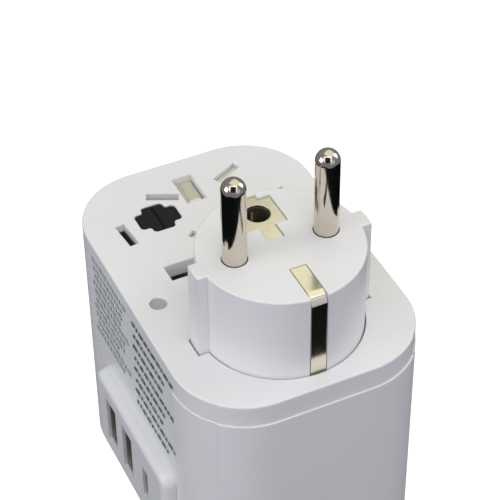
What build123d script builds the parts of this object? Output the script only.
"""Universal travel adapter: a white casing with four plugs that slide out of its top face.

Frame: millimetres, origin at the centre of the base, +Z towards the plug face, +X to the side with
the round-pin and blocky-pin sliders, -Y towards the front panel. The casing stands on its socket
end. The round-pin plug is drawn slid out; the other three are drawn at home inside the casing.
"""

import os
from math import cos, radians, sin

from build123d import *

# ---------------------------------------------------------------- casing
BODY_X, BODY_Y, BODY_Z = 50.0, 73.0, 60.0
CORNER_R = 15.0
WALL = 2.0
CAP_SKIRT = 5.0
BASE_SKIRT = 3.0
FRONT_PROUD, CORNER_PROUD, CAP_PROUD = 0.45, 0.2, 0.12  # a narrow ledge is left under the cap
RIM_ROUND = 0.4
BASE_ROUND = 1.0
SEAM_BEVEL = 0.12
LIP_DEPTH = 2.0
LIP_INNER = 3.0
FIT_GAP = 0.05
INSIDE = 3.4  # distance from the outer wall to the space the slides may use
SHELL_TOP = BODY_Z - CAP_SKIRT
HALF_X, HALF_Y = BODY_X / 2, BODY_Y / 2

# ---------------------------------------------------------------- details of the face and the base
RIM_BEVEL = 0.15  # on the edges of the openings in the face
GUIDE_WALL, GUIDE_DEPTH = 1.0, 3.4  # collars under the face round the blocky pins' slots
WINDOW_X, WINDOW_Y = -9.45, 21.26
WINDOW_ARM_X, WINDOW_ARM_Y, WINDOW_HALF = 4.55, 4.1, 2.45
WINDOW_INNER_R, WINDOW_END_R = 0.6, 0.9
HUB_R, HUB_Z0, HUB_SUNK = 5.1, 56.2, 0.35
GROOVE_W, GROOVE_DEPTH = 0.5, 0.4
LENS_X, LENS_Y, LENS_R, LENS_SUNK = -19.6, -2.44, 1.7, 0.6
SCREW_BACK, SCREW_FRONT = (17.4, 28.9), (9.0, -32.2)
SCREW_R, SCREW_HEAD_R, SCREW_TOP = 1.3, 2.6, 9.0
SCREW_DRIVE = (2.6, 0.6)
BOSS_TOP, BOSS_WALL = 11.0, 0.4

# ---------------------------------------------------------------- round-pin plug (slid out)
SCHUKO_Y = -16.6
SCHUKO_R = 16.25
SCHUKO_H = 19.2
SCHUKO_WALL = 2.2
TAB_R, TAB_HALF = 18.2, 2.2
COLLAR_R, COLLAR_TAB, COLLAR_HALF = 17.6, 19.6, 16.4
COLLAR_Z0, COLLAR_Z1 = 54.0, 57.7
CORE_Z0 = 56.0
CARRIER_T = 3.5
PIN_R, PIN_LEN, PIN_PITCH = 2.4, 19.0, 19.0
PIN_SHANK_R, PIN_FOOT_R = 2.0, 3.4
SCHUKO_TRAVEL = SCHUKO_H + PIN_LEN
EARTH_Y = 10.0
EARTH_BORE_R = 2.5
SLEEVE_WALL, SLEEVE_LEN, SLEEVE_SLIT = 0.6, 16.3, 0.6
STRAP_HALF, STRAP_T = 1.6, 0.5
STRAP_BEND, STRAP_BACK, STRAP_OUT = 2.2, 7.2, 16.15
STRAP_FACET, STRAP_CREASE = (50, 80), 0.1  # degrees round the bend, and the creases beside the facet
PLATE_SUNK, PLATE_SHEET = 0.4, 0.5
INLAY_GAP = 0.18  # round the metal pieces let into the plug's face
BARREL_ROUND = 0.35
FACE_Z = BODY_Z + SCHUKO_H
SLEEVE_TOP = FACE_Z - PLATE_SUNK - PLATE_SHEET

# ---------------------------------------------------------------- blade and block plugs (at home)
UK_Y, UK_PITCH, UK_EARTH_RISE = 4.6, 22.2, 22.2
UK_PIN = (6.35, 4.0)
UK_LIVE_OUT, UK_EARTH_OUT = 17.7, 22.7
AU_MID = (-11.7, 22.84)
AU_TURN = 35.0
AU_PITCH, AU_EARTH_DROP = 13.7, 14.26
AU_BLADE = (6.35, 1.6)
AU_LIVE_OUT, AU_EARTH_OUT = 17.35, 20.0
US_MID = (12.1, 22.55)
US_TURN = 27.0
US_PITCH = 12.7
US_BLADE = (6.35, 1.5)
US_OUT = 17.0
TIP_SUNK = 0.7
UK_TRAVEL = UK_EARTH_OUT + TIP_SUNK
AU_TRAVEL = AU_EARTH_OUT + TIP_SUNK
US_TRAVEL = US_OUT + TIP_SUNK
PLATE_T = 3.0
PLATE_TOP = 55.4  # upper face of a slide plate when its pins are fully out
SLOT_GAP = 0.2

# ---------------------------------------------------------------- sliders on the side walls
KNOB_TOP = 45.9  # height of a slider's neck when its plug is out
NECK_HALF = 1.5
NECK_GAP = 0.15
PAD_HALF, PAD_DOWN, PAD_UP = 4.0, 4.5, 7.5
PAD_IN, PAD_OUT = 0.15, 2.2
BUTTON_Z, BUTTON_OUT = 3.6, 2.9
BUTTON_STEM, BUTTON_FLANGE = (4.2, 3.2), (5.2, 4.2)
BUTTON_FLANGE_X = (0.8, 1.15)
BUTTON_STEP = 1.2
SIDE_UK_Y, SIDE_SCHUKO_Y = 4.2, SCHUKO_Y
BACK_AU_X, BACK_US_X = -6.2, 6.2

# ---------------------------------------------------------------- USB block on the left wall
USB_Y, USB_Z = (-21.1, 15.2), (9.8, 30.5)
USB_PROUD = 3.0
USB_ROUND, USB_CORNER = 1.8, 2.6
PORT_Z = 19.8
PORT_A_Y, PORT_C_Y = (6.86, -1.64), -11.14
PORT_A, PORT_A_REAR = (5.1, 12.5), -16.2
PORT_C, PORT_C_REAR = (2.6, 8.4), -18.0
PORT_SHEET = 0.3
PORT_FRONT = -27.2

# ---------------------------------------------------------------- universal socket in the base
SOCKET_Y = 5.0
SOCKET_DEPTH = 20.0
SOCKET_FLOOR = WALL + 1.5
SOCKET_SHELF = 0.8
CLIP_T, CLIP_Z = 0.5, (4.0, 19.0)

# ---------------------------------------------------------------- power conversion and protection
BOARD_Z, BOARD_T = 22.0, 1.4
CORE_X, CORE_Y, CORE_RISE = (7.0, 18.0), (15.0, 27.0), (2.5, 8.0)
COIL_R, COIL_LEN = 4.6, 10.0
CAN_X, CAN_Y, CAN_R, CAN_H = -10.2, 22.0, 4.0, 7.4
FUSE_Y, FUSE_Z, FUSE_R, FUSE_LEN = -24.0, 7.0, 2.5, 20.0
FUSE_CLIP_X, FUSE_CLIP_W, FUSE_CLIP_TOP = (-9.0, 5.0), 4.0, 8.5


# ---------------------------------------------------------------- shape helpers
def block(x0, x1, y0, y1, z0, z1):
    return Pos((x0 + x1) / 2, (y0 + y1) / 2, (z0 + z1) / 2) * Box(x1 - x0, y1 - y0, z1 - z0)


def post(x, y, r, z0, z1):
    return Pos(x, y, (z0 + z1) / 2) * Cylinder(r, z1 - z0)


def bar(x, y, turn, size, z0, z1):
    """An upright bar of the given plan size, turned about its own axis."""
    return Pos(x, y, (z0 + z1) / 2) * Rot(0, 0, turn) * Box(size[0], size[1], z1 - z0)


def slab(points, z0, z1):
    """A flat piece with a straight-sided outline."""
    face = make_face(Polyline(*points, close=True))
    return Pos(0, 0, z0) * extrude(face, z1 - z0)


def outline(inset, z0, z1):
    """The casing's rounded-rectangle plan, moved inwards by inset."""
    plan = RectangleRounded(BODY_X - 2 * inset, BODY_Y - 2 * inset, CORNER_R - inset)
    return Pos(0, 0, z0) * extrude(plan, z1 - z0)


def front_wedge(z0, z1):
    """The space in front of the 45-degree lines through both front corners."""
    x, y = HALF_X - CORNER_R, -(HALF_Y - CORNER_R)
    reach = 2 * CORNER_R
    corners = [(x, y), (x + reach, y - reach), (-x - reach, y - reach), (-x, y)]
    return slab(corners, z0, z1)


def front_corners(z0, z1):
    """The space in front of the lines where the side walls curve into the front corners."""
    return block(-HALF_X - 1, HALF_X + 1, -HALF_Y - 1, CORNER_R - HALF_Y, z0, z1)


def wall_ring(inset, z0, z1):
    ring = outline(inset, z0, z1)
    ring = chamfer(ring.edges().group_by(Axis.Z)[-1], SEAM_BEVEL)
    return ring - outline(WALL, z0, z1)


def export(name, shape):
    shape.label = name
    export_step(shape, os.path.join("parts", name + ".step"))


# ---------------------------------------------------------------- where the pins stand
def unit(turn):
    return Vector(1, 0, 0).rotate(Axis.Z, turn)


def uk_pins():
    """Name: centre, turn, plan size and how far it stands out when the plug is out."""
    half = UK_PITCH / 2
    wide = (UK_PIN[1], 2 * UK_PIN[1])
    return {
        "uk_live_pin": (-half, UK_Y, 0, UK_PIN, UK_LIVE_OUT),
        "uk_neutral_pin": (half, UK_Y, 0, UK_PIN, UK_LIVE_OUT),
        "uk_earth_pin": (0, UK_Y + UK_EARTH_RISE, 0, wide, UK_EARTH_OUT),
    }


def au_pins():
    across = unit(AU_TURN) * (AU_PITCH / 2)
    down = unit(AU_TURN - 90) * AU_EARTH_DROP
    axis = AU_TURN + 90
    mid = Vector(*AU_MID, 0)
    pins = {}
    for name, centre, turn, out in (
        ("au_live_blade", mid - across, axis - 30, AU_LIVE_OUT),
        ("au_neutral_blade", mid + across, axis + 30, AU_LIVE_OUT),
        ("au_earth_blade", mid + down, axis, AU_EARTH_OUT),
    ):
        pins[name] = (centre.X, centre.Y, turn, AU_BLADE, out)
    return pins


def us_pins():
    across = unit(US_TURN + 90) * (US_PITCH / 2)
    mid = Vector(*US_MID, 0)
    pins = {}
    for name, centre in (("us_live_blade", mid + across), ("us_neutral_blade", mid - across)):
        pins[name] = (centre.X, centre.Y, US_TURN, US_BLADE, US_OUT)
    return pins


# ---------------------------------------------------------------- casing pieces
def cross(shrink, z0, z1):
    """The plan of the cross-shaped window, with rounded ends and wide inner corners."""
    half = WINDOW_HALF - shrink
    across = Rectangle(2 * (WINDOW_ARM_X - shrink), 2 * half)
    along = Rectangle(2 * half, 2 * (WINDOW_ARM_Y - shrink))
    plan = across + along
    near = 0.01
    inner = [v for v in plan.vertices() if abs(v.X) < half + near and abs(v.Y) < half + near]
    plan = fillet(inner, WINDOW_INNER_R)
    outer = [v for v in plan.vertices() if abs(abs(v.X) - WINDOW_ARM_X + shrink) < near]
    outer += [v for v in plan.vertices() if abs(abs(v.Y) - WINDOW_ARM_Y + shrink) < near]
    plan = fillet(outer, WINDOW_END_R)
    return Pos(WINDOW_X, WINDOW_Y, z0) * extrude(plan, z1 - z0)


def schuko_opening():
    gap = 0.25
    hole = post(0, SCHUKO_Y, SCHUKO_R + gap, SHELL_TOP, BODY_Z + 1)
    reach, half = TAB_R + gap, TAB_HALF + gap
    return hole + block(-reach, reach, SCHUKO_Y - half, SCHUKO_Y + half, SHELL_TOP, BODY_Z + 1)


def top_cap():
    plate = outline(0, SHELL_TOP, BODY_Z)
    proud = outline(-CAP_PROUD, SHELL_TOP, BODY_Z)
    plate = fillet(plate.edges().group_by(Axis.Z)[-1], RIM_ROUND)
    proud = fillet(proud.edges().group_by(Axis.Z)[-1], RIM_ROUND)
    cap = plate + (proud & front_wedge(SHELL_TOP, BODY_Z))
    under = BODY_Z - WALL
    cap -= outline(WALL, SHELL_TOP, under)
    lip = outline(WALL + FIT_GAP, SHELL_TOP - LIP_DEPTH, under) - outline(LIP_INNER, 0, under)
    cap += lip
    for x, y, turn, size, _ in uk_pins().values():
        room = (size[0] + 2 * GUIDE_WALL, size[1] + 2 * GUIDE_WALL)
        cap += bar(x, y, turn, room, BODY_Z - GUIDE_DEPTH, under)
    cap -= schuko_opening()
    for pins in (uk_pins(), au_pins(), us_pins()):
        for x, y, turn, size, _ in pins.values():
            room = (size[0] + 2 * SLOT_GAP, size[1] + 2 * SLOT_GAP)
            cap -= bar(x, y, turn, room, SHELL_TOP, BODY_Z + 1)
    cap -= cross(0, SHELL_TOP, BODY_Z + 1)
    cap -= post(LENS_X, LENS_Y, LENS_R + FIT_GAP, under - 1, BODY_Z + 1)
    face = cap.faces().filter_by(Axis.Z).sort_by(Axis.Z)[-1]
    return chamfer([edge for wire in face.inner_wires() for edge in wire.edges()], RIM_BEVEL)


def slider_slots():
    """The upright slots in the right and back walls that the slider necks run in."""
    half = NECK_HALF + NECK_GAP
    slots = []
    for y, travel in ((SIDE_SCHUKO_Y, SCHUKO_TRAVEL), (SIDE_UK_Y, UK_TRAVEL)):
        z0, z1 = KNOB_TOP - travel - half - NECK_GAP, KNOB_TOP + half + NECK_GAP
        slots.append(block(HALF_X - 2 * WALL, HALF_X + 1, y - half, y + half, z0, z1))
    for x, travel in ((BACK_AU_X, AU_TRAVEL), (BACK_US_X, US_TRAVEL)):
        z0, z1 = KNOB_TOP - travel - half - NECK_GAP, KNOB_TOP + half + NECK_GAP
        slots.append(block(x - half, x + half, HALF_Y - 2 * WALL, HALF_Y + 1, z0, z1))
    return slots


def usb_plan(margin, x0, x1):
    return block(x0, x1, USB_Y[0] + margin, USB_Y[1] - margin, USB_Z[0] + margin, USB_Z[1] - margin)


def boss(x, y):
    pilot = post(x, y, SCREW_R + FIT_GAP, BASE_SKIRT, BOSS_TOP)
    return post(x, y, SCREW_HEAD_R + BOSS_WALL, BASE_SKIRT, BOSS_TOP) - pilot


def rear_shell():
    ring = wall_ring(0, BASE_SKIRT, SHELL_TOP)
    ring += wall_ring(-CORNER_PROUD, BASE_SKIRT, SHELL_TOP) & front_corners(BASE_SKIRT, SHELL_TOP)
    ring -= front_wedge(0, BODY_Z)
    for cut in slider_slots():
        ring -= cut
    ring -= usb_plan(0.9, -HALF_X - 1, -HALF_X + 2 * WALL)
    for side in (-1, 1):
        x, y = side * SCREW_BACK[0], SCREW_BACK[1]
        ring += boss(x, y) & outline(WALL / 2, BASE_SKIRT, BOSS_TOP)
    return ring


def front_shell():
    ring = wall_ring(-FRONT_PROUD, BASE_SKIRT, SHELL_TOP)
    ring &= Pos(0, -FIT_GAP, 0) * front_wedge(0, BODY_Z)
    for side in (-1, 1):
        x, y = side * SCREW_FRONT[0], SCREW_FRONT[1]
        ring += boss(x, y) & outline(WALL / 2, BASE_SKIRT, BOSS_TOP)
    return ring


def screw_places():
    for side in (-1, 1):
        for x, y in (SCREW_BACK, SCREW_FRONT):
            yield side * x, y


def socket_cuts(z0, z1, room=0.0):
    """The openings for foreign plugs: line, neutral and earth, seen from the base."""
    cuts = []
    for side in (-1, 1):
        cut = bar(side * 11.1, SOCKET_Y, 0, (7.4 + room, 4.8 + room), z0, z1)
        cut += post(side * 9.5, SOCKET_Y, 2.7 + room, z0, z1)
        cut += bar(side * 6.4, SOCKET_Y, 0, (2.2 + room, 7.4 + room), z0, z1)
        cuts.append(cut)
    earth = bar(0, SOCKET_Y + UK_EARTH_RISE, 0, (4.8 + room, 9.0 + room), z0, z1)
    earth += post(0, SOCKET_Y + 11.9, 2.8 + room, z0, z1)
    earth += bar(0, SOCKET_Y + 16.0, 0, (2.4 + room, 8.0 + room), z0, z1)
    cuts.append(earth)
    return cuts


def base_cover():
    plate = outline(0, 0, BASE_SKIRT)
    proud = outline(-FRONT_PROUD, 0, BASE_SKIRT)
    plate = fillet(plate.edges().group_by(Axis.Z)[0], BASE_ROUND)
    proud = fillet(proud.edges().group_by(Axis.Z)[0], BASE_ROUND)
    cover = plate + (proud & front_wedge(0, BASE_SKIRT))
    cover -= outline(WALL, WALL, BASE_SKIRT)
    for x, y in screw_places():
        cover += post(x, y, SCREW_HEAD_R + BOSS_WALL, WALL - 0.5, BASE_SKIRT) & outline(0.5, 0, BASE_SKIRT)
        cover -= post(x, y, SCREW_R + 0.2, 0, BASE_SKIRT)
        cover -= post(x, y, SCREW_HEAD_R + 0.2, 0, WALL - 0.5)
    for cut in socket_cuts(-1, BASE_SKIRT):
        cover -= cut
    return cover


def housing_screws():
    screws = []
    for x, y in screw_places():
        head = post(x, y, SCREW_HEAD_R, 0.2, WALL - 0.5)
        for turn in (0, 90):
            head -= bar(x, y, turn, SCREW_DRIVE, -0.4, 0.8)
        screws.append(head + post(x, y, SCREW_R, WALL - 0.5, SCREW_TOP))
    return Compound(screws)


def indicator_lens():
    return post(LENS_X, LENS_Y, LENS_R, BODY_Z - WALL - LENS_SUNK, BODY_Z - LENS_SUNK)


def interlock_hub():
    """The black disc whose raised cross fills the window, with a groove along its middle."""
    top = BODY_Z - HUB_SUNK
    hub = post(WINDOW_X, WINDOW_Y, HUB_R, HUB_Z0, BODY_Z - WALL - FIT_GAP)
    hub += cross(2 * FIT_GAP, HUB_Z0 + 1, top)
    groove = (GROOVE_W, 2 * WINDOW_ARM_Y - 1.2)
    return hub - bar(WINDOW_X, WINDOW_Y, 0, groove, top - GROOVE_DEPTH, top + 1)


# ---------------------------------------------------------------- USB module
def usb_bezel():
    face = usb_plan(0, -HALF_X - USB_PROUD, -HALF_X)
    face = fillet(face.edges().filter_by(Axis.X), USB_CORNER)
    face = fillet(face.edges().group_by(Axis.X)[0], USB_ROUND)
    bezel = face + usb_plan(1.0, -HALF_X, -HALF_X + WALL)
    for y in PORT_A_Y:
        bezel -= port_box(y, PORT_A, 0, PORT_FRONT - 1, 0)
        bezel -= port_box(y, PORT_A, PORT_SHEET + 0.1, PORT_FRONT, 0)
    bezel -= port_box(PORT_C_Y, PORT_C, 0, PORT_FRONT - 1, 0)
    bezel -= port_box(PORT_C_Y, PORT_C, PORT_SHEET + 0.1, PORT_FRONT, 0)
    return bezel


def port_box(y, size, grow, x0, x1):
    half_y, half_z = size[0] / 2 + grow, size[1] / 2 + grow
    return block(x0, x1, y - half_y, y + half_y, PORT_Z - half_z, PORT_Z + half_z)


def port_shell(y, size, rear):
    """A drawn-sheet receptacle: open at the front, closed at the rear."""
    can = port_box(y, size, PORT_SHEET, PORT_FRONT, rear)
    return can - port_box(y, size, 0, PORT_FRONT - 1, rear - PORT_SHEET)


def port_tongue(y, size, thick, x0, rear, offset):
    """The insulating tongue, with the block that fills the receptacle's rear end."""
    rear_wall = port_box(y, size, -FIT_GAP, rear - PORT_SHEET - 2.0, rear - PORT_SHEET - FIT_GAP)
    y0, y1 = y + offset - thick / 2, y + offset + thick / 2
    half = size[1] / 2 - 0.7
    return rear_wall + block(x0, rear - 1, y0, y1, PORT_Z - half, PORT_Z + half)


def usb_a_tongues():
    return Compound([port_tongue(y, PORT_A, 1.8, -26.2, PORT_A_REAR, 1.3) for y in PORT_A_Y])


def usb_board():
    return block(-22.9, -16.9, -14.0, 21.0, 10.9, 12.1)


# ---------------------------------------------------------------- inside the casing
def socket_block():
    """The insulating block over the base, with a chamber for each spring contact."""
    body = block(-15.9, 15.9, 1.4, 22.0, WALL + FIT_GAP, SOCKET_DEPTH)
    body += block(-6.5, 6.5, 22.0, 32.4, WALL + FIT_GAP, SOCKET_DEPTH)
    roof = SOCKET_DEPTH - SOCKET_SHELF
    for side in (-1, 1):
        x0, x1 = sorted((side * 4.9, side * 15.2))
        body -= block(x0, x1, SOCKET_Y - 4.1, SOCKET_Y + 4.1, SOCKET_FLOOR, roof)
    body -= block(-3.7, 3.7, 13.4, 32.0, SOCKET_FLOOR, roof)
    for cut in socket_cuts(0, WALL + 2):
        body -= cut
    return body


def socket_contact(side):
    """A folded spring clip: two leaves joined over the top."""
    x0, x1 = sorted((side * 5.1, side * 15.0))
    half = 3.7
    clip = block(x0, x1, SOCKET_Y - half, SOCKET_Y + half, *CLIP_Z)
    half -= CLIP_T
    return clip - block(x0 - 1, x1 + 1, SOCKET_Y - half, SOCKET_Y + half, 0, CLIP_Z[1] - CLIP_T)


def earth_contact():
    half = 3.5
    clip = block(-half, half, 14.0, 31.8, *CLIP_Z)
    half -= CLIP_T
    return clip - block(-half, half, 13.0, 33.0, 0, CLIP_Z[1] - CLIP_T)


def busbar(side, y):
    """An upright strip beside the slides, with a tab over the socket block."""
    x0, x1 = sorted((side * 16.0, side * 16.6))
    tab0, tab1 = sorted((side * 11.0, side * 16.6))
    return block(x0, x1, y, y + 3.4, 5.0, 50.0) + block(tab0, tab1, y, y + 3.4, 20.1, 20.7)


def earth_busbar():
    return block(-3.5, 3.5, 33.3, 33.9, 5.0, 50.0)


def power_board():
    board = block(-15.8, 21.6, 14.4, 33.0, BOARD_Z, BOARD_Z + BOARD_T)
    return board & outline(INSIDE, BOARD_Z, BOARD_Z + BOARD_T)


def transformer():
    top = BOARD_Z + BOARD_T
    core = block(*CORE_X, *CORE_Y, top + CORE_RISE[0], top + CORE_RISE[1])
    return core + post(sum(CORE_X) / 2, sum(CORE_Y) / 2, COIL_R, top, top + COIL_LEN)


def capacitor():
    top = BOARD_Z + BOARD_T
    can = post(CAN_X, CAN_Y, CAN_R, top, top + CAN_H)
    groove = post(CAN_X, CAN_Y, CAN_R + 1, top + 1.0, top + 1.4)
    return can - (groove - post(CAN_X, CAN_Y, CAN_R - 0.2, top, top + 2))


def fuse():
    return Pos(0, FUSE_Y, FUSE_Z) * Rot(0, 90, 0) * Cylinder(FUSE_R, FUSE_LEN)


def fuse_clips():
    """Two upright forks that hold the fuse by its ends."""
    clips = []
    inner = FUSE_R + 0.1
    outer = inner + CLIP_T
    for x0 in FUSE_CLIP_X:
        x1 = x0 + FUSE_CLIP_W
        clip = block(x0, x1, FUSE_Y - outer, FUSE_Y + outer, WALL + FIT_GAP, FUSE_CLIP_TOP)
        clips.append(clip - block(x0 - 1, x1 + 1, FUSE_Y - inner, FUSE_Y + inner, WALL + 1, BOARD_Z))
    return Compound(clips)


# ---------------------------------------------------------------- round-pin plug
def strap_profile(points, half):
    """A strip bent over the plug's front edge, from (distance forward, height) points."""
    face = make_face(Polyline(*[(0, SCHUKO_Y - forward, z) for forward, z in points], close=True))
    return extrude(face, amount=half, dir=(1, 0, 0), both=True)


def strap_point(degrees, depth):
    """A point of the strap's bend, at a depth below its outer surface."""
    turn = radians(degrees)
    radius = STRAP_BEND - depth
    return (STRAP_OUT - STRAP_BEND + radius * sin(turn), FACE_Z - STRAP_BEND + radius * cos(turn))


def strap_bend(depth):
    """The whole bend, from the top run to the front run."""
    return [strap_point(degrees, depth) for degrees in range(0, 91, 10)]


def strap_outside():
    """The bend's outer side, with a flat facet between two fine creases."""
    first, last = STRAP_FACET
    line = [strap_point(degrees, 0) for degrees in range(0, first - 2, 8)]
    line += [strap_point(first - 2, STRAP_CREASE), strap_point(first, 0)]
    line += [strap_point(last, 0), strap_point(last + 2, STRAP_CREASE)]
    return line + [strap_point(last + 4, 0), strap_point(90, 0)]


def plate_plan(grow, z0, z1):
    """The cross-shaped earth plate, grown by a margin."""
    wide = block(-4.2 - grow, 4.2 + grow, SCHUKO_Y + 5.8 - grow, SCHUKO_Y + 13.6 + grow, z0, z1)
    narrow = 1.65 + grow
    return wide + block(-narrow, narrow, SCHUKO_Y + 1.9 - grow, SCHUKO_Y + 14.8 + grow, z0, z1)


def collar(z0, z1):
    """The flange that keeps the plug in the casing, flattened front and rear."""
    disc = post(0, SCHUKO_Y, COLLAR_R, z0, z1)
    half = TAB_HALF + 0.7
    disc += block(-COLLAR_TAB, COLLAR_TAB, SCHUKO_Y - half, SCHUKO_Y + half, z0, z1)
    return disc & block(-30, 30, SCHUKO_Y - COLLAR_HALF, SCHUKO_Y + COLLAR_HALF, z0, z1)


def schuko_body():
    barrel = post(0, SCHUKO_Y, SCHUKO_R, COLLAR_Z1, FACE_Z)
    tabs = block(-TAB_R, TAB_R, SCHUKO_Y - TAB_HALF, SCHUKO_Y + TAB_HALF, COLLAR_Z1, FACE_Z)
    barrel += tabs & post(0, SCHUKO_Y, TAB_R, COLLAR_Z1, FACE_Z)
    barrel = fillet(barrel.edges().group_by(Axis.Z)[-1], BARREL_ROUND)
    barrel += collar(COLLAR_Z0, COLLAR_Z1)
    barrel -= post(0, SCHUKO_Y, SCHUKO_R - SCHUKO_WALL, COLLAR_Z0, FACE_Z - SCHUKO_WALL)
    for side in (-1, 1):
        barrel -= post(side * PIN_PITCH / 2, SCHUKO_Y, PIN_R + 0.15, COLLAR_Z0, FACE_Z + 1)
    barrel -= plate_plan(INLAY_GAP, SLEEVE_TOP, FACE_Z + 1)
    sleeve_r = EARTH_BORE_R + SLEEVE_WALL + 2 * FIT_GAP
    barrel -= post(0, SCHUKO_Y + EARTH_Y, sleeve_r, COLLAR_Z0, FACE_Z)
    far = 2 * SCHUKO_R
    groove = strap_bend(STRAP_T + FIT_GAP) + [(STRAP_OUT - STRAP_T - FIT_GAP, COLLAR_Z0 - 1)]
    groove += [(far, COLLAR_Z0 - 1), (far, FACE_Z + 1)]
    groove += [(STRAP_BACK - INLAY_GAP, FACE_Z + 1), (STRAP_BACK - INLAY_GAP, FACE_Z - STRAP_T - FIT_GAP)]
    return barrel - strap_profile(groove, STRAP_HALF + INLAY_GAP)


def schuko_carrier():
    plate = collar(COLLAR_Z0 - CARRIER_T, COLLAR_Z0)
    half = NECK_HALF + 0.4
    low = KNOB_TOP - NECK_HALF
    reach = HALF_X - INSIDE
    plate += block(COLLAR_R - 0.4, reach, SCHUKO_Y - half, SCHUKO_Y + half, low, COLLAR_Z0)
    for side in (-1, 1):
        plate -= post(side * PIN_PITCH / 2, SCHUKO_Y, PIN_SHANK_R + FIT_GAP, 45, 60)
    return plate - block(-5, 5, SCHUKO_Y + 5, SCHUKO_Y + 14, 45, 60)


def schuko_pin(side):
    """A turned pin with a domed tip, a slimmer shank in the body and a foot collar."""
    x = side * PIN_PITCH / 2
    dome_z = FACE_Z + PIN_LEN - PIN_R
    pin = post(x, SCHUKO_Y, PIN_R, FACE_Z, dome_z)
    pin += Pos(x, SCHUKO_Y, dome_z) * Sphere(PIN_R)
    pin += post(x, SCHUKO_Y, PIN_SHANK_R, COLLAR_Z0 - CARRIER_T, FACE_Z)
    return pin + post(x, SCHUKO_Y, PIN_FOOT_R, COLLAR_Z0 + FIT_GAP, CORE_Z0 - FIT_GAP)


def schuko_core():
    """The insulating insert that fills the plug's body and holds the pins and the earth sleeve."""
    top = FACE_Z - SCHUKO_WALL - FIT_GAP
    core = post(0, SCHUKO_Y, SCHUKO_R - SCHUKO_WALL - FIT_GAP, CORE_Z0, top)
    for side in (-1, 1):
        core -= post(side * PIN_PITCH / 2, SCHUKO_Y, PIN_SHANK_R + FIT_GAP, CORE_Z0, FACE_Z)
    sleeve_r = EARTH_BORE_R + SLEEVE_WALL + 2 * FIT_GAP
    return core - post(0, SCHUKO_Y + EARTH_Y, sleeve_r, SLEEVE_TOP - SLEEVE_LEN - 0.3, FACE_Z)


def earth_strap():
    foot = COLLAR_Z1 + FIT_GAP
    outer = [(STRAP_BACK, FACE_Z)] + strap_outside() + [(STRAP_OUT, foot)]
    inner = [(STRAP_OUT - STRAP_T, foot)] + strap_bend(STRAP_T)[::-1] + [(STRAP_BACK, FACE_Z - STRAP_T)]
    return strap_profile(outer + inner, STRAP_HALF)


def earth_plate():
    plate = plate_plan(0, SLEEVE_TOP, FACE_Z - PLATE_SUNK)
    return plate - post(0, SCHUKO_Y + EARTH_Y, EARTH_BORE_R, FACE_Z - 2, FACE_Z)


def earth_sleeve():
    y = SCHUKO_Y + EARTH_Y
    foot = SLEEVE_TOP - SLEEVE_LEN
    tube = post(0, y, EARTH_BORE_R + SLEEVE_WALL, foot, SLEEVE_TOP)
    tube -= post(0, y, EARTH_BORE_R, foot - 1, SLEEVE_TOP + 1)
    return tube - bar(0, y, 0, (SLEEVE_SLIT, 4 * EARTH_BORE_R), foot - 1, SLEEVE_TOP - 1)


# ---------------------------------------------------------------- slide plates, pins and blades
def home(travel):
    """Underside of a slide plate when its plug is at home."""
    return PLATE_TOP - PLATE_T - travel


def tip_z(out, travel):
    return BODY_Z + out - travel


def pin_bar(pin, travel, foot):
    x, y, turn, size, out = pin
    top = tip_z(out, travel)
    rod = bar(x, y, turn, size, foot, top)
    return chamfer(rod.edges().group_by(Axis.Z)[-1], 0.25 * min(size))


def uk_carrier():
    z0 = home(UK_TRAVEL)
    z1 = z0 + PLATE_T
    plate = block(-15.3, 15.3, UK_Y - 3.2, UK_Y + 2.8, z0, z1)
    plate += block(0.2, 4.0, UK_Y, 31.2, z0, z1)
    plate += block(-2.4, 4.0, 22.4, 31.2, z0, z1)
    half = NECK_HALF + 0.4
    reach = HALF_X - INSIDE
    low = KNOB_TOP - UK_TRAVEL - NECK_HALF
    plate += block(15.0, reach, SIDE_UK_Y - half, SIDE_UK_Y + half, z0, z1)
    plate += block(17.6, reach, SIDE_UK_Y - half, SIDE_UK_Y + half, low, z1)
    for x, y, turn, size, _ in uk_pins().values():
        plate -= bar(x, y, turn, foot_size(size), z0 - 1, z1 + 1)
    return plate


def foot_size(size):
    return (size[0] - 1.0 + 2 * FIT_GAP, size[1] - 1.0 + 2 * FIT_GAP)


def uk_pin(name):
    """A blocky pin with a slimmer foot; line and neutral are slim as far as their sleeves go."""
    x, y, turn, size, out = uk_pins()[name]
    z0 = home(UK_TRAVEL)
    top = tip_z(out, UK_TRAVEL)
    step = z0 + PLATE_T if name == "uk_earth_pin" else top - 9.0
    slim = (size[0] - 1.0, size[1] - 1.0)
    return pin_bar((x, y, turn, size, out), UK_TRAVEL, step) + bar(x, y, turn, slim, z0, step)


def uk_pin_sleeves():
    sleeves = []
    z0 = home(UK_TRAVEL) + PLATE_T
    for name in ("uk_live_pin", "uk_neutral_pin"):
        x, y, turn, size, out = uk_pins()[name]
        top = tip_z(out, UK_TRAVEL) - 9.0
        sleeves.append(bar(x, y, turn, size, z0, top) - bar(x, y, turn, foot_size(size), z0 - 1, top + 1))
    return Compound(sleeves)


def blade_carrier(pins, travel, points, neck_x):
    """A slide plate with a hanging arm at the back wall for its slider."""
    z0 = home(travel)
    z1 = z0 + PLATE_T
    plate = slab(points, z0, z1) & outline(INSIDE, z0, z1)
    low = KNOB_TOP - travel - NECK_HALF
    wall = HALF_Y - INSIDE
    plate += block(neck_x - NECK_HALF, neck_x + NECK_HALF, wall - 2.5, wall, low, z1)
    for x, y, turn, size, _ in pins.values():
        plate -= bar(x, y, turn, (size[0] + 2 * FIT_GAP, size[1] + 2 * FIT_GAP), z0 - 1, z1 + 1)
    return plate


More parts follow.
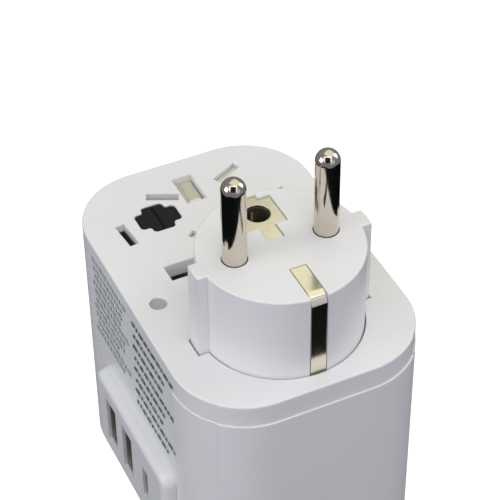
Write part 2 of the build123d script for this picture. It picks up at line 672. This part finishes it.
def au_carrier():
    points = [(-21.6, 15.6), (-7.4, 15.6), (-7.4, 7.9), (-0.4, 7.9)]
    points += [(-0.4, 15.0), (-2.75, 17.4), (-2.75, 33.1), (-21.6, 33.1)]
    return blade_carrier(au_pins(), AU_TRAVEL, points, BACK_AU_X)


def us_carrier():
    points = [(4.6, 12.6), (21.6, 12.6), (21.6, 33.1), (4.6, 33.1)]
    return blade_carrier(us_pins(), US_TRAVEL, points, BACK_US_X)


# ---------------------------------------------------------------- sliders and their lock buttons
def at_right(y, z):
    return Pos(HALF_X, y, z)


def at_back(x, z):
    return Pos(x, HALF_Y, z) * Rot(0, 0, 90)


def knob():
    """A slider, drawn with x outwards from the wall and z = 0 at the middle of its neck."""
    pad = block(PAD_IN, PAD_OUT, -PAD_HALF, PAD_HALF, -PAD_DOWN, PAD_UP)
    pad = fillet(pad.edges().filter_by(Axis.X), 1.5)
    pad = fillet(pad.edges().group_by(Axis.X)[-1], 0.6)
    for z in (-2.8, -1.4, 0.0):
        pad += block(PAD_OUT - 0.1, PAD_OUT + 0.3, -2.8, 2.8, z - 0.3, z + 0.3)
    pad += block(-INSIDE, PAD_IN, -NECK_HALF, NECK_HALF, -NECK_HALF, NECK_HALF)
    stem_y, stem_z = BUTTON_STEM[0] / 2 + 0.1, BUTTON_STEM[1] / 2 + 0.1
    wide_y, wide_z = BUTTON_FLANGE[0] / 2 + 0.1, BUTTON_FLANGE[1] / 2 + 0.1
    pad -= block(PAD_IN, PAD_OUT + 1, -stem_y, stem_y, BUTTON_Z - stem_z, BUTTON_Z + stem_z)
    return pad - block(PAD_IN, BUTTON_STEP, -wide_y, wide_y, BUTTON_Z - wide_z, BUTTON_Z + wide_z)


def lock_button():
    """The release button in a slider, held by its flange."""
    half_y, half_z = BUTTON_STEM[0] / 2, BUTTON_STEM[1] / 2
    stem = block(BUTTON_FLANGE_X[0], BUTTON_OUT, -half_y, half_y, BUTTON_Z - half_z, BUTTON_Z + half_z)
    stem = fillet(stem.edges().group_by(Axis.X)[-1], 0.5)
    half_y, half_z = BUTTON_FLANGE[0] / 2, BUTTON_FLANGE[1] / 2
    return stem + block(*BUTTON_FLANGE_X, -half_y, half_y, BUTTON_Z - half_z, BUTTON_Z + half_z)


def slider_places():
    return {
        "schuko": at_right(SIDE_SCHUKO_Y, KNOB_TOP),
        "uk": at_right(SIDE_UK_Y, KNOB_TOP - UK_TRAVEL),
        "au": at_back(BACK_AU_X, KNOB_TOP - AU_TRAVEL),
        "us": at_back(BACK_US_X, KNOB_TOP - US_TRAVEL),
    }


# ---------------------------------------------------------------- the whole adapter
def all_parts():
    parts = {
        "top_cap": top_cap(),
        "rear_shell": rear_shell(),
        "front_shell": front_shell(),
        "base_cover": base_cover(),
        "housing_screws": housing_screws(),
        "indicator_lens": indicator_lens(),
        "interlock_hub": interlock_hub(),
        "usb_bezel": usb_bezel(),
        "usb_a_port_rear": port_shell(PORT_A_Y[0], PORT_A, PORT_A_REAR),
        "usb_a_port_front": port_shell(PORT_A_Y[1], PORT_A, PORT_A_REAR),
        "usb_c_port": port_shell(PORT_C_Y, PORT_C, PORT_C_REAR),
        "usb_a_tongues": usb_a_tongues(),
        "usb_c_tongue": port_tongue(PORT_C_Y, PORT_C, 0.7, -26.6, PORT_C_REAR, 0),
        "usb_board": usb_board(),
        "socket_block": socket_block(),
        "live_contact": socket_contact(-1),
        "neutral_contact": socket_contact(1),
        "earth_contact": earth_contact(),
        "live_busbar": busbar(-1, 10.3),
        "neutral_busbar": busbar(1, 8.6),
        "earth_busbar": earth_busbar(),
        "power_board": power_board(),
        "transformer": transformer(),
        "capacitor": capacitor(),
        "fuse": fuse(),
        "fuse_clips": fuse_clips(),
        "schuko_body": schuko_body(),
        "schuko_core": schuko_core(),
        "schuko_carrier": schuko_carrier(),
        "schuko_pin_left": schuko_pin(-1),
        "schuko_pin_right": schuko_pin(1),
        "earth_strap": earth_strap(),
        "earth_plate": earth_plate(),
        "earth_sleeve": earth_sleeve(),
        "uk_carrier": uk_carrier(),
        "uk_pin_sleeves": uk_pin_sleeves(),
        "au_carrier": au_carrier(),
        "us_carrier": us_carrier(),
    }
    for name in uk_pins():
        parts[name] = uk_pin(name)
    for name, pin in au_pins().items():
        parts[name] = pin_bar(pin, AU_TRAVEL, home(AU_TRAVEL))
    for name, pin in us_pins().items():
        parts[name] = pin_bar(pin, US_TRAVEL, home(US_TRAVEL))
    for name, place in slider_places().items():
        parts[name + "_knob"] = place * knob()
        parts[name + "_button"] = place * lock_button()
    return parts


os.makedirs("parts", exist_ok=True)
for part_name, part_shape in all_parts().items():
    export(part_name, part_shape)
